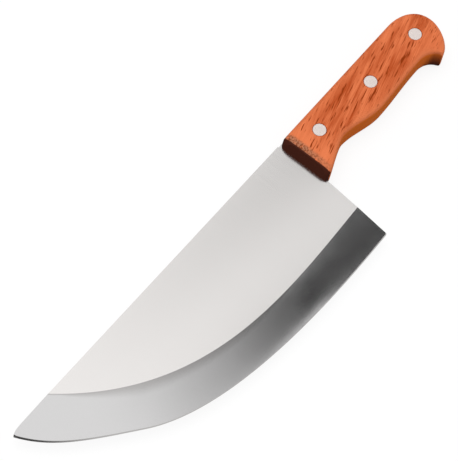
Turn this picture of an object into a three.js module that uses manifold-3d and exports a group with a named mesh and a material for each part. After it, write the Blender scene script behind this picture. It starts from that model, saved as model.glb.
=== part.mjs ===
import * as THREE from 'three';
import { mergeVertices } from 'three/addons/utils/BufferGeometryUtils.js';
import Module from 'manifold-3d';

// Butcher's cleaver lying flat: a broad curved blade whose tang is let into two riveted hardwood
// scales. Millimetres. +X runs from the tip to the butt, +Y from the cutting edge to the spine and
// +Z up. Everything is drawn from the handle's front on the spine line, then centred at the end.

// Blade
const bladeLength = 228.3;
const bladeDepth = 81.8;
const bladeThickness = 2.5;
const tipDrop = 1.9;
const tipRun = 7.3;
const spineFall = 0.9;
const heelSetback = 2.3;
const shoulderSetback = 4.4;
const heelRadius = 1.6;

// How the cutting edge bends from heel to tip, as shares of the blade's length and depth
const bellyBendShares = [[0.258, 1.017], [0.62, 1]];
const bellyEndShares = [0.787, 0.638];
const tipBendShares = [[0.901, 0.394], [0.963, 0.26]];

// Bevel ground on both sides of the blade: hollow from the wheel below the grind line, where it is
// steeper by a share of its slope, and rolled over along the cutting edge, by an angle in degrees
const grindHeelWidth = 22.7;
const grindRunOut = 30;
const grindBendShares = [[0.31, 0.752], [0.63, 0.828]];
const wheelHollowShare = 0.26;
const wheelHollowWidth = 5.4;
const edgeRollAngle = 2.9;
const edgeRollWidth = 4.7;
const edgeLand = 0.2;

// Tang, flush with the back of the handle and covered by the wood along the belly
const tangCover = 3.6;
const tangSetback = 7.2;
const tangCorner = 6;
const tangRootRadius = 6;

// Handle outline: places from its front or its butt, widths down from its straight back
const handleLength = 124.4;
const handleThickness = 19;
const handleDrop = 1.5;
const footWidth = 33.8;
const neckAt = 28;
const neckWidth = 25.1;
const palmAt = 58;
const palmWidth = 30.4;
const waistSetback = 27.2;
const waistWidth = 28.6;
const beakSetback = 15.4;
const beakWidth = 36.6;
const buttWidth = 16.7;
const pommelRun = 20.7;

// How the outline bends between those places, as shares of the run from one to the next
const flareShare = 0.18;
const palmShare = 0.35;
const hookShare = 0.55;
const hookBendShares = [0.89, 0.44];
const beakShare = 0.465;
const buttShare = 0.565;
const pommelShare = 0.51;
const crownShare = 0.68;

// Handle front and edges
const frontSetback = 2.6;
const frontBowShare = 0.3;
const frontBowHeightShare = 0.6;
const frontRadius = 4;
const footRadius = 2.5;
const edgeRadius = 4.5;
const buttFlat = 0.05;

// Rivets: a solid pin pressed into a tubular socket, both heads flush with the wood
const headDiameter = 8;
const headThickness = 2;
const tubeDiameter = 5;
const pinDiameter = 3;
const rivetEndGap = 0.5;
const frontRivetAt = 20.5;
const frontRivetDrop = 12.7;
const middleRivetAt = 65.2;
const middleRivetDrop = 15.8;
const buttRivetSetback = 16.1;
const buttRivetDrop = 16.3;

// Clearance round everything that is let into the wood
const fitGap = 0.3;

// Facets
const edgeSteps = 48;
const rollSteps = 2;
const bevelSteps = 4;
const roundSteps = 5;
const circleSteps = 32;
const outlineSteps = 60;
const stationSteps = { front: 6, neck: 10, palm: 10, waist: 8, beak: 10, pommel: 7, butt: 8 };
const tolerance = 1e-7;
const overCut = 6;

const wasm = await Module();
wasm.setup();
const { degToRad, lerp } = THREE.MathUtils;
const quarterTurn = Math.PI / 2;

const halfBlade = bladeThickness / 2;
const halfHandle = handleThickness / 2;
const headSeat = halfHandle - headThickness;

const satinSteel = () => new THREE.MeshStandardMaterial({ color: 0xd8d5d3, roughness: 0.32, metalness: 1 });
const redHardwood = () => new THREE.MeshStandardMaterial({ color: 0xd06a3c, roughness: 0.45, metalness: 0 });
const aluminium = () => new THREE.MeshStandardMaterial({ color: 0xe2ddd8, roughness: 0.38, metalness: 1 });

// A closed geometry as a solid that can be joined and cut
function solidOf(geometry) {
  geometry.deleteAttribute('normal');
  geometry.deleteAttribute('uv');
  const merged = mergeVertices(geometry);
  return new wasm.Manifold(new wasm.Mesh({
    numProp: 3,
    vertProperties: new Float32Array(merged.attributes.position.array),
    triVerts: new Uint32Array(merged.index.array),
  }));
}

function geometryOf(solid) {
  const mesh = solid.getMesh();
  const geometry = new THREE.BufferGeometry();
  geometry.setAttribute('position', new THREE.BufferAttribute(mesh.vertProperties, 3));
  geometry.setIndex(new THREE.BufferAttribute(mesh.triVerts, 1));
  geometry.computeVertexNormals();
  return geometry;
}

// Closed solid through rings of equal length that run anticlockwise about the way the loft goes
function loft(rings) {
  const count = rings[0].length;
  const last = (rings.length - 1) * count;
  const index = [];
  for (let i = 0; i < last; i += count) {
    for (let j = 0; j < count; j++) {
      const next = (j + 1) % count;
      index.push(i + j, i + next, i + count + j, i + count + j, i + next, i + count + next);
    }
  }
  for (let j = 1; j < count - 1; j++) {
    index.push(0, j + 1, j, last, last + j, last + j + 1);
  }
  const geometry = new THREE.BufferGeometry().setFromPoints(rings.flat());
  geometry.setIndex(index);
  return geometry;
}

// The same ring on the other side of the blade's mid-plane
function mirrored(ring) {
  return ring.map((point) => new THREE.Vector3(point.x, point.y, -point.z)).reverse();
}

// The last value from low to high for which a test that starts out true still holds
function lastValue(low, high, holds) {
  while (high - low > tolerance) {
    const middle = (low + high) / 2;
    if (holds(middle)) {
      low = middle;
    } else {
      high = middle;
    }
  }
  return low;
}

// Places on the blade as shares of its length from the handle and of its depth from the spine
function onBlade([lengthShare, depthShare]) {
  return new THREE.Vector2(-bladeLength * lengthShare, -bladeDepth * depthShare);
}

// Cutting edge from heel to tip: a long shallow belly, then a quicker sweep up to the point
const heel = new THREE.Vector2(-heelSetback, -bladeDepth);
const bellyEnd = onBlade(bellyEndShares);
const tip = new THREE.Vector2(-bladeLength, -tipDrop);
const cuttingEdge = new THREE.CurvePath();
cuttingEdge.add(new THREE.CubicBezierCurve(heel, ...bellyBendShares.map(onBlade), bellyEnd));
cuttingEdge.add(new THREE.CubicBezierCurve(bellyEnd, ...tipBendShares.map(onBlade), tip));
const edgePoints = cuttingEdge.getSpacedPoints(edgeSteps);

// Grind line from the heel to where it runs out on the spine, short of the point
const grindHeel = new THREE.Vector2(0, grindHeelWidth - bladeDepth);
const grindEnd = new THREE.Vector2(grindRunOut - bladeLength, 0);
const grindLine = new THREE.CubicBezierCurve(grindHeel, ...grindBendShares.map(onBlade), grindEnd);

// Blade and tang meet along a line just in front of the handle and a shoulder inside its foot.
// The spine falls slightly from the grind line's end to the handle and rounds down to its back.
const spineStep = handleDrop - spineFall;
const rootLine = -spineStep;
const tangDepth = neckWidth - tangCover;
const shoulderLine = -handleDrop - tangDepth - tangRootRadius;
const shoulderEnd = shoulderSetback - heelSetback;

function bladeOutline(gap) {
  const outline = new THREE.Shape();
  outline.moveTo(rootLine, -spineFall);
  outline.lineTo(grindEnd.x, grindEnd.y);
  outline.lineTo(tipRun - bladeLength, 0);
  outline.quadraticCurveTo(tipDrop - bladeLength, 0, tip.x, tip.y);
  for (const point of edgePoints.slice(1, -1).reverse()) {
    outline.lineTo(point.x, point.y);
  }
  outline.lineTo(heel.x - heelRadius, heel.y);
  outline.quadraticCurveTo(heel.x, heel.y, heel.x, heel.y + heelRadius);
  outline.lineTo(shoulderEnd + gap, shoulderLine);
  outline.lineTo(rootLine, shoulderLine);
  return outline;
}

function tangOutline(gap) {
  const back = gap - handleDrop;
  const belly = -handleDrop - tangDepth - gap;
  const end = handleLength - tangSetback + gap;
  const backEnd = handleLength - pommelRun + gap;
  const shoulder = shoulderEnd + gap;
  const corner = tangCorner + gap;
  const outline = new THREE.Shape();
  outline.moveTo(rootLine, shoulderLine);
  outline.lineTo(shoulder, shoulderLine);
  outline.quadraticCurveTo(shoulder, belly, shoulder + tangRootRadius - gap, belly);
  outline.lineTo(end - corner, belly);
  outline.absarc(end - corner, belly + corner, corner, -quarterTurn, 0);
  outline.quadraticCurveTo(end, (back + belly) / 2, backEnd, back);
  outline.lineTo(0, back);
  outline.absarc(rootLine, -handleDrop, spineStep, 0, quarterTurn);
  return outline;
}

// Blade and tang as one sheet. With a gap it is the space that the scales leave for it.
function steelSheet(gap) {
  const plates = [bladeOutline(gap), tangOutline(gap)].map((outline) => {
    const plate = new THREE.ExtrudeGeometry(outline, { depth: bladeThickness, bevelEnabled: false });
    return solidOf(plate.translate(0, 0, -halfBlade));
  });
  return plates[0].add(plates[1]);
}

// What the roll along the cutting edge adds to the half thickness
function rollHeight(fromEdge) {
  const within = Math.min(fromEdge, edgeRollWidth);
  return degToRad(edgeRollAngle) * (within - within ** 2 / (2 * edgeRollWidth));
}

// How the bevel climbs from the edge to the grind line, for a slope of 1 where it is straight
function bevelClimb(fromEdge, width) {
  const curl = Math.exp((fromEdge - width) / wheelHollowWidth) - Math.exp(-width / wheelHollowWidth);
  return fromEdge + wheelHollowShare * wheelHollowWidth * curl;
}

// Half thickness of the ground blade at a distance from the edge, where the bevel has a given width
function groundHalf(fromEdge, width) {
  const land = edgeLand / 2;
  const slope = (halfBlade - land - rollHeight(width)) / bevelClimb(width, width);
  return land + slope * bevelClimb(fromEdge, width) + rollHeight(fromEdge);
}

// Section of what the grinding takes away, between a point on the edge and one on the grind line.
// The outermost facets run straight on past the edge and the grind line.
function grindRing(edgePoint, grindPoint) {
  const width = edgePoint.distanceTo(grindPoint);
  const place = (fromEdge, z) => {
    const point = edgePoint.clone().lerp(grindPoint, fromEdge / width);
    return new THREE.Vector3(point.x, point.y, z);
  };
  const top = bladeThickness;
  const rollStep = edgeRollWidth / rollSteps;
  const bevelStep = (width - edgeRollWidth) / bevelSteps;
  const inner = width + bevelStep;
  const ring = [place(inner, top), place(inner, bladeThickness - groundHalf(width - bevelStep, width))];
  for (let step = bevelSteps - 1; step >= 0; step--) {
    const fromEdge = edgeRollWidth + bevelStep * step;
    ring.push(place(fromEdge, groundHalf(fromEdge, width)));
  }
  for (let step = rollSteps - 1; step > 0; step--) {
    ring.push(place(rollStep * step, groundHalf(rollStep * step, width)));
  }
  ring.push(place(-rollStep, edgeLand - groundHalf(rollStep, width)), place(-rollStep, top));
  return ring;
}

function grindRings() {
  const grindPoints = grindLine.getSpacedPoints(edgeSteps);
  const rings = edgePoints.map((point, i) => grindRing(point, grindPoints[i]));
  const past = (curve, end, reach) => curve.getPointAt(end).addScaledVector(curve.getTangentAt(end), reach);
  rings.unshift(grindRing(past(cuttingEdge, 0, -overCut), past(grindLine, 0, -overCut)));
  rings.push(grindRing(past(cuttingEdge, 1, overCut), past(grindLine, 1, overCut)));
  return rings;
}

// Back of the handle from its front to the middle of the butt
const backLine = -handleDrop;
const buttLine = backLine - buttWidth;
const pommelAt = handleLength - pommelRun;
const handleBack = new THREE.Path();
handleBack.moveTo(0, backLine - frontRadius);
handleBack.absarc(frontRadius, backLine - frontRadius, frontRadius, Math.PI, quarterTurn, true);
handleBack.lineTo(pommelAt, backLine);
handleBack.bezierCurveTo(lerp(pommelAt, handleLength, pommelShare), backLine,
  handleLength, lerp(buttLine, backLine, crownShare), handleLength, buttLine);

// Belly of the handle: flared foot, neck, palm swell, waist, beak, then round to the butt
const waistAt = handleLength - waistSetback;
const beakAt = handleLength - beakSetback;
const footLine = backLine - footWidth;
const waistLine = backLine - waistWidth;
const beakLine = backLine - beakWidth;
const handleBelly = new THREE.Path();

function easeTo(x, y, share) {
  const from = handleBelly.currentPoint;
  const reach = (x - from.x) * share;
  handleBelly.bezierCurveTo(from.x + reach, from.y, x - reach, y, x, y);
}

handleBelly.moveTo(0, footLine + footRadius);
handleBelly.absarc(footRadius, footLine + footRadius, footRadius, Math.PI, Math.PI + quarterTurn);
easeTo(neckAt, backLine - neckWidth, flareShare);
easeTo(palmAt, backLine - palmWidth, palmShare);
easeTo(waistAt, waistLine, palmShare);
handleBelly.bezierCurveTo(lerp(waistAt, beakAt, hookShare), waistLine,
  lerp(waistAt, beakAt, hookBendShares[0]), lerp(waistLine, beakLine, hookBendShares[1]), beakAt, beakLine);
handleBelly.bezierCurveTo(lerp(beakAt, handleLength, beakShare), beakLine,
  handleLength, lerp(beakLine, buttLine, buttShare), handleLength, buttLine);

// Both sides of the outline as points, with the way in from each
const handleSides = [[handleBack, -1], [handleBelly, 1]].map(([path, inward]) => {
  return { path, inward, points: path.getPoints(outlineSteps) };
});

// Height at x of one side of the outline after it is set in by a depth all along
function insetHeight({ path, inward, points }, x, depth) {
  const place = lastValue(0, 1, (share) => path.getPoint(share).x < x);
  let height = path.getPoint(place).y * inward + depth;
  for (const point of points) {
    const along = point.x - x;
    if (Math.abs(along) < depth) {
      height = Math.max(height, point.y * inward + Math.sqrt(depth ** 2 - along ** 2));
    }
  }
  return height * inward;
}

// Stations along the handle, closer together at its round ends and at the beak
function handleStations() {
  const roundAt = handleLength - edgeRadius;
  const stations = [0];
  const even = (share) => share;
  const slowStart = (share) => 1 - Math.cos(share * quarterTurn);
  const slowEnd = (share) => Math.sin(share * quarterTurn);
  const goTo = (end, steps, ease) => {
    const start = stations.at(-1);
    for (let i = 1; i <= steps; i++) {
      stations.push(lerp(start, end, ease(i / steps)));
    }
  };
  goTo(frontRadius, stationSteps.front, slowStart);
  goTo(neckAt, stationSteps.neck, even);
  goTo(palmAt, stationSteps.palm, even);
  goTo(waistAt, stationSteps.waist, even);
  goTo(beakAt, stationSteps.beak, slowEnd);
  goTo(roundAt, stationSteps.pommel, even);
  goTo(handleLength - buttFlat, stationSteps.butt, slowEnd);
  return stations;
}

// Section of one scale: flat inner and outer faces, with the outer edge rounded over all along
function scaleRing(x) {
  const [back, belly] = handleSides;
  const widthAt = (depth) => insetHeight(back, x, depth) - insetHeight(belly, x, depth);
  const roundDepth = lastValue(0, edgeRadius, (depth) => widthAt(depth) > buttFlat);
  const roundTurn = Math.acos(1 - roundDepth / edgeRadius);
  const ring = [];
  for (const side of handleSides) {
    const rise = [new THREE.Vector3(x, insetHeight(side, x, 0), 0)];
    for (let i = 0; i <= roundSteps; i++) {
      const turn = roundTurn * i / roundSteps;
      const depth = edgeRadius * (1 - Math.cos(turn));
      const z = halfHandle - edgeRadius + edgeRadius * Math.sin(turn);
      rise.push(new THREE.Vector3(x, insetHeight(side, x, depth), z));
    }
    ring.push(...(side === back ? rise : rise.reverse()));
  }
  return ring;
}

// What the leaning, slightly bowed front face takes off the left scale
function frontCut() {
  const width = 2 * bladeDepth;
  const bowLine = lerp(halfBlade, halfHandle, frontBowHeightShare);
  const profile = new THREE.Shape();
  profile.moveTo(-overCut, halfBlade);
  profile.lineTo(0, halfBlade);
  profile.quadraticCurveTo(frontSetback * frontBowShare, bowLine, frontSetback, halfHandle);
  profile.lineTo(frontSetback, halfHandle + overCut);
  profile.lineTo(-overCut, halfHandle + overCut);
  const cut = new THREE.ExtrudeGeometry(profile, {
    depth: width,
    bevelEnabled: false,
    curveSegments: roundSteps,
  });
  return cut.rotateX(quarterTurn).translate(0, width / 2, 0);
}

function upright(radius, from, to) {
  const cylinder = new THREE.CylinderGeometry(radius, radius, to - from, circleSteps);
  return cylinder.rotateX(quarterTurn).translate(0, 0, (from + to) / 2);
}

const rivets = [
  ['front', frontRivetAt, backLine - frontRivetDrop],
  ['middle', middleRivetAt, backLine - middleRivetDrop],
  ['butt', handleLength - buttRivetSetback, backLine - buttRivetDrop],
];

// The same upright hole at every rivet
function drilled(solid, radius, from, to) {
  for (const [, x, y] of rivets) {
    solid = solid.subtract(solidOf(upright(radius, from, to).translate(x, y, 0)));
  }
  return solid;
}

const boreRadius = tubeDiameter / 2 + fitGap;
const headRadius = headDiameter / 2;
const outside = halfHandle + overCut;

function bladeGeometry() {
  const rings = grindRings();
  const ground = steelSheet(0)
    .subtract(solidOf(loft(rings)))
    .subtract(solidOf(loft(rings.map(mirrored))));
  return geometryOf(drilled(ground, boreRadius, -outside, outside));
}

// side is 1 for the left scale and -1 for the right one
function scaleGeometry(side) {
  const rings = handleStations().map(scaleRing);
  const front = frontCut().rotateX(side > 0 ? 0 : Math.PI);
  const shaped = solidOf(loft(side > 0 ? rings : rings.map(mirrored)))
    .subtract(steelSheet(fitGap))
    .subtract(solidOf(front));
  const bored = drilled(shaped, boreRadius, -outside, outside);
  const seat = [headSeat * side, outside * side].sort((a, b) => a - b);
  return geometryOf(drilled(bored, headRadius + fitGap, ...seat));
}

function turned(profile) {
  const points = profile.map(([radius, z]) => new THREE.Vector2(radius, z));
  return new THREE.LatheGeometry(points, circleSteps).rotateX(quarterTurn);
}

function pinGeometry() {
  const end = rivetEndGap - headSeat;
  const radius = pinDiameter / 2;
  return turned([[0, end], [radius, end], [radius, headSeat],
    [headRadius, headSeat], [headRadius, halfHandle], [0, halfHandle]]);
}

function socketGeometry() {
  const end = headSeat - rivetEndGap;
  const radius = tubeDiameter / 2;
  const bore = pinDiameter / 2 + fitGap;
  return turned([[0, -halfHandle], [headRadius, -halfHandle], [headRadius, -headSeat],
    [radius, -headSeat], [radius, end], [bore, end], [bore, -headSeat], [0, -headSeat]]);
}

const cleaver = new THREE.Group();

function addPiece(name, geometry, material, x = 0, y = 0) {
  const piece = new THREE.Mesh(geometry, material);
  piece.name = name;
  piece.position.set(x, y, 0);
  cleaver.add(piece);
}

addPiece('blade', bladeGeometry(), satinSteel());
addPiece('scale_left', scaleGeometry(1), redHardwood());
addPiece('scale_right', scaleGeometry(-1), redHardwood());
for (const [name, x, y] of rivets) {
  addPiece(`rivet_${name}_pin`, pinGeometry(), aluminium(), x, y);
  addPiece(`rivet_${name}_socket`, socketGeometry(), aluminium(), x, y);
}

// The origin is the middle of the cleaver's underside
const box = new THREE.Box3().setFromObject(cleaver);
const middle = box.getCenter(new THREE.Vector3());
cleaver.position.set(-middle.x, -middle.y, -box.min.z);

export default cleaver;
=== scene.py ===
"""A butcher's cleaver: ground steel blade, lacquered hardwood scales and flush rivets, lying in a studio."""

import math

import bmesh
import bpy
import numpy as np
from bmesh.types import BMFace, BMVert
from bpy.props import FloatProperty, FloatVectorProperty, PointerProperty
from mathutils import Matrix, Quaternion, Vector
from mathutils.geometry import interpolate_bezier


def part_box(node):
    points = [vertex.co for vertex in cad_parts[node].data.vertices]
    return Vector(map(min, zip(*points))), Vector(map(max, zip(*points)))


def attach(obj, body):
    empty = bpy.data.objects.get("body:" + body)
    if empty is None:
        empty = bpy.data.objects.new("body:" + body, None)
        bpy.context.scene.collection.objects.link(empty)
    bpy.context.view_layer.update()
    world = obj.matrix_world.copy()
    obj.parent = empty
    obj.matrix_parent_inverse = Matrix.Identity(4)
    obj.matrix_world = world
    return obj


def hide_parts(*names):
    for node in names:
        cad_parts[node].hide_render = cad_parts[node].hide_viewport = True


bl_info = {
    "name": "Butcher's cleaver",
    "version": (1, 0, 0),
    "blender": (4, 5, 0),
    "location": "3D View > Sidebar > Cleaver",
    "description": "Builds a riveted butcher's cleaver round its packed solids and sets up its studio",
    "category": "Object",
}

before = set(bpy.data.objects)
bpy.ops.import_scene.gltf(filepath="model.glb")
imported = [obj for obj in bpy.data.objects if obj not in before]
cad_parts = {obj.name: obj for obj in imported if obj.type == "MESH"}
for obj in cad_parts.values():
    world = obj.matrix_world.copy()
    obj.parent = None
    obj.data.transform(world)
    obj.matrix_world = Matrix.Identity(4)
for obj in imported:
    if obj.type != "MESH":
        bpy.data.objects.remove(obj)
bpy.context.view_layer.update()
BLADE_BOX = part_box("blade")
SCALE_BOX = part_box("scale_left")
MM = 0.001

# Sizes run from the handle's front on the spine line, halfway through the blade
ORIGIN = Vector((SCALE_BOX[0].x, BLADE_BOX[1].y, (BLADE_BOX[0].z + BLADE_BOX[1].z) / 2))
RIVETS = ("front", "middle", "butt")

# The blade's steels, in their order on its mesh
FLATS, BEVEL, HONE, SHEET_EDGES = range(4)

# Attribute of the strip below the grind line where the steel carries a painted shade
SHADE_STRIP = "shade_strip"

# Share of the front's lean that grows with the square of the height
FRONT_BOW = 0.4

# How finely the curves are divided
EDGE_STEPS = 240
ROLLED_ROWS = 6
GROUND_ROWS = 14
ARC_STEPS = 10
ROUND_STEPS = 10
OUTLINE_STEPS = 1500
TURN_STEPS = 64
FRONT_STEPS = 10
SHAFT_STEPS = 69
HOOK_STEPS = 15
POMMEL_STEPS = 30

# Faces that turn by more than this meet in a crease
BLADE_CREASE = math.radians(25)
SCALE_CREASE = math.radians(35)
RIVET_CREASE = math.radians(30)
NO_CREASE = math.pi

# Edges of the steel and of the handle's front that turn by more than this are eased
STEEL_TURN = 1
FRONT_TURN = 0.7

# Points closer than this are one
MERGE = 0.001 * MM

# The studio, in metres
FLOOR_REACH = 6
FLOOR_GAP = 0.1 * MM
WALL_RADIUS = 2
WALL_HEIGHT = 1.8
CARD_HEIGHT = 1.2
LAMP_SIZE = 1.2
LAMP_PLACE = (0.05, 0.3, 1.5)

# Settings that many shader nodes share
EASED = {"interpolation_type": "SMOOTHSTEP"}
COLOURS = {"data_type": "RGBA"}


def length(name, description, millimetres):
    value = millimetres * MM
    return FloatProperty(
        name=name, description=description, default=value, precision=5, unit="LENGTH", subtype="DISTANCE"
    )


def lengths(name, description, *millimetres):
    values = [value * MM for value in millimetres]
    return FloatVectorProperty(
        name=name, description=description, default=values, size=len(values), precision=5, unit="LENGTH"
    )


def angle(name, description, degrees):
    return FloatProperty(name=name, description=description, default=math.radians(degrees), subtype="ANGLE")


def share(name, description, value):
    return FloatProperty(name=name, description=description, default=value, subtype="FACTOR")


def shares(name, description, *values):
    return FloatVectorProperty(
        name=name, description=description, default=values, size=len(values), precision=3
    )


def linear(code):
    """An sRGB hex colour as the linear colour that shaders take."""
    channels = [int(code[i : i + 2], 16) / 255 for i in (0, 2, 4)]
    return [c / 12.92 if c <= 0.04045 else ((c + 0.055) / 1.055) ** 2.4 for c in channels] + [1.0]


def colour(name, description, code):
    value = linear(code)
    return FloatVectorProperty(name=name, description=description, default=value, size=4, subtype="COLOR")


class BladeSizes(bpy.types.PropertyGroup):
    length: length("Length", "From the handle's front to the point", (SCALE_BOX[0].x - BLADE_BOX[0].x) / MM)
    depth: length("Depth", "From the spine to the heel", 81.8)
    thickness: length("Thickness", "Of the sheet", (BLADE_BOX[1].z - BLADE_BOX[0].z) / MM)
    tip_drop: length("Tip drop", "From the spine line down to the point", 1.9)
    tip_run: length("Tip run", "Length over which the spine drops to the point", 7.3)
    spine_fall: length("Spine fall", "How far the spine falls from the grind line's end to the handle", 0.9)
    heel_setback: length("Heel setback", "From the handle's front to the heel", 2.3)
    heel_lean: length("Heel lean", "How far the back of the blade leans towards the handle", 4.4)
    heel_radius: length("Heel radius", "Rounding of the heel's corner", 1.6)
    belly_bend: shares("Belly bend", "Handles of the edge, heel to belly's end", 0.258, 1.017, 0.62, 1.0)
    belly_end: shares("Belly end", "Where the long belly ends", 0.787, 0.638)
    tip_bend: shares("Tip bend", "Handles of the edge, belly's end to point", 0.901, 0.394, 0.963, 0.26)
    grind_heel: length("Grind at the heel", "Width of the ground bevel at the heel", 22.7)
    grind_run_out: length("Grind run-out", "From the point to where the grind line meets the spine", 30)
    grind_bend: shares("Grind bend", "Handles of the grind line", 0.31, 0.752, 0.63, 0.828)
    crown: shares("Crown", "Flattening at the grind line, heel to tip", 0.05, 0.559, 0.421, 0.05, 0.516)
    crown_reach: length("Crown reach", "How far below the grind line the crown dies out", 16)
    # Painted shade: width of the darker strip below the grind line, heel to tip
    shade_strip_width: lengths("Dull width", "Of the strip that buffing misses, heel to tip", 0.1, 0.1, 7, 10, 0.1)
    edge_roll: shares("Edge roll", "Slope that the roll adds, heel to tip", 0.005, 0.032, 0.0135, 0.0, 0.001)
    roll_width: length("Roll width", "Width of the buffed roll along the cutting edge", 11)
    edge_land: length("Edge land", "Thickness that the bevel leaves at the cutting edge, before honing", 0.34)
    hone_width: lengths("Hone width", "Width of the honed facet: at heel, belly and tip", 0.65, 0.45, 1.25)
    hone_angle: angle("Hone angle", "Of the honed facet to the blade's mid-plane", 10)
    eased_edge: length("Eased edge", "Chamfer along the spine and the back of the blade", 0.25)
    tang_cover: length("Tang cover", "Wood below the tang at the handle's neck", 3.6)
    tang_setback: length("Tang setback", "Wood behind the tang's end", 7.2)
    tang_corner: length("Tang corner", "Rounding of the tang's end", 6)
    tang_root: length("Tang root", "Fillet between tang and shoulder", 6)


class HandleSizes(bpy.types.PropertyGroup):
    length: length("Length", "From front to butt", (SCALE_BOX[1].x - SCALE_BOX[0].x) / MM)
    thickness: length("Thickness", "Over both scales", (SCALE_BOX[1].z - ORIGIN.z) * 2 / MM)
    drop: length("Drop", "From the spine line to the handle's back", 1.5)
    foot: length("Foot", "Width at the front", 33.8)
    neck_at: length("Neck place", "From the front", 28)
    neck: length("Neck", "Width behind the flared foot", 25.1)
    palm_at: length("Palm place", "From the front", 58)
    palm: length("Palm", "Width at the swell", 30.4)
    waist_setback: length("Waist place", "From the butt", 27.2)
    waist: length("Waist", "Width in front of the beak", 28.6)
    beak_setback: length("Beak place", "From the butt", 15.4)
    beak: length("Beak", "Width at the beak", 36.6)
    butt: length("Butt", "From the back down to the rearmost point", 16.7)
    pommel_run: length("Pommel run", "Length over which the back rounds down to the butt", 20.7)
    flare_ease: share("Flare ease", "Share of the run from foot to neck that stays level", 0.18)
    palm_ease: share("Palm ease", "Share of the runs beside the swell that stays level", 0.35)
    hook_bend: shares("Hook bend", "Handles of the hollow in front of the beak", 0.55, 0.0, 0.89, 0.44)
    beak_bend: shares("Beak bend", "Handles from the beak to the butt", 0.465, 0.0, 1.0, 0.565)
    pommel_bend: shares("Pommel bend", "Handles from the back to the butt", 0.51, 0.0, 1.0, 0.32)
    front_lean: length("Front lean", "How far the front leans back from the blade to the flat", 2.6)
    front_reach: length("Front reach", "Length over which the lean dies out", 14)
    front_radius: length("Front radius", "Rounding of the front into the back", 4)
    foot_radius: length("Foot radius", "Rounding of the front into the belly", 2.5)
    edge_radius: length("Edge radius", "Rounding of the flats into back and belly", 4.5)
    front_wear: length("Front wear", "Rounding of the front's rim", 0.6)
    clearance: length("Clearance", "Round everything that is let into the wood", 0.3)


class RivetSizes(bpy.types.PropertyGroup):
    head: length("Head", "Diameter of the flush heads", 8)
    head_depth: length("Head depth", "Thickness of a head", 2)
    tube: length("Tube", "Outside diameter of the tubular half", 5)
    pin: length("Pin", "Diameter of the solid half", 3)
    end_gap: length("End gap", "From a shank's end to the other half's head", 0.5)
    crown: length("Crown", "How far a sanded head stands above its rim", 0.12)


class Finishes(bpy.types.PropertyGroup):
    satin: colour("Satin steel", "Flats of the blade", "f0edeb")
    buffed: colour("Buffed steel", "Ground bevel", "d7d6d6")
    # Painted shade: darker steel tint of the strip below the grind line
    shade_below_grind: colour("Dull steel", "Strip below the grind line that the buffing misses", "bab8b7")
    honed: colour("Honed steel", "Cutting edge", "b9b7b6")
    edge_ground: colour("Ground edges", "Spine, back of the blade and rim of the tang", "b4b1ae")
    aluminium: colour("Aluminium", "Rivet heads", "f5eae5")
    wood_pale: colour("Pale wood", "Between the figure's streaks", "f28656")
    wood_deep: colour("Deep wood", "Streaks of the figure", "b4481c")
    # Painted light: paler tone of the belly's round-over, where it turns away from the lamp
    wood_lit_round_over: colour("Rubbed edges", "Belly's round-over, rubbed by fingers", "fd8e5c")
    # Painted light and shade: tone of the sides, set by the way they face
    wood_side_shading: colour("Side wood", "Sides, where the lacquer lies thicker", "f67a20")
    wood_pore: colour("Pores", "Open pores filled with dark lacquer", "94390f")
    # End grain, with painted shade on the handle's front and in the beak's hollow
    wood_end_grain_and_shade: colour("End grain", "Faces across the grain, which soak up the stain", "49241a")
    wood_worn: colour("Worn wood", "Rubbed patches behind the handle's front", "b8795a")
    wood_grime: colour("Grime", "Dark spots in the rubbed patches", "8a4a2c")


class StudioSettings(bpy.types.PropertyGroup):
    azimuth: angle("Azimuth", "Of the camera", -59.87)
    elevation: angle("Elevation", "Of the camera", 64.6)
    roll: angle("Roll", "Of the camera", 9.7)
    distance: length("Distance", "From the camera to the blade", 1071.7)
    aim: FloatVectorProperty(
        name="Aim", description="Where the camera looks", default=(-0.00723, 0.02843, 0.0095), subtype="XYZ"
    )
    field: angle("Field", "Angle over the picture's height", 13.77)
    fill: FloatProperty(name="Fill", description="Light of the room on the object", default=0.6)
    key: FloatProperty(name="Key", description="Power of the large soft lamp, in watts", default=10)


class CleaverSettings(bpy.types.PropertyGroup):
    blade: PointerProperty(type=BladeSizes)
    handle: PointerProperty(type=HandleSizes)
    rivets: PointerProperty(type=RivetSizes)
    finishes: PointerProperty(type=Finishes)
    studio: PointerProperty(type=StudioSettings)


def new_material(name):
    """A material and its node tree, still empty."""
    material = bpy.data.materials.new(name)
    material.use_nodes = True
    material.node_tree.nodes.clear()
    return material, material.node_tree


def add(tree, kind, inputs=None, **settings):
    """Adds a shader node with its settings. An input takes a value, a socket or a node's first output."""
    node = tree.nodes.new("ShaderNode" + kind)
    for name, value in settings.items():
        setattr(node, name, value)
    for name, value in (inputs or {}).items():
        source = value.outputs[0] if isinstance(value, bpy.types.Node) else value
        if isinstance(source, bpy.types.NodeSocket):
            tree.links.new(source, node.inputs[name])
        else:
            node.inputs[name].default_value = source
    return node


def stretched(long, wide):
    """Scale of a pattern that is drawn out along X, from its real length and width in millimetres."""
    return (1 / (long * MM), 1 / (wide * MM), 1 / (wide * MM))


def seen_rays(tree):
    """1 for the rays that show the room: from the camera, or by way of a reflection or clear material."""
    path = add(tree, "LightPath")
    seen = {0: path.outputs["Is Camera Ray"], 1: path.outputs["Is Glossy Ray"]}
    shown = add(tree, "Math", seen, operation="MAXIMUM")
    return add(tree, "Math", {0: shown, 1: path.outputs["Is Transmission Ray"]}, operation="MAXIMUM")


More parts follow.
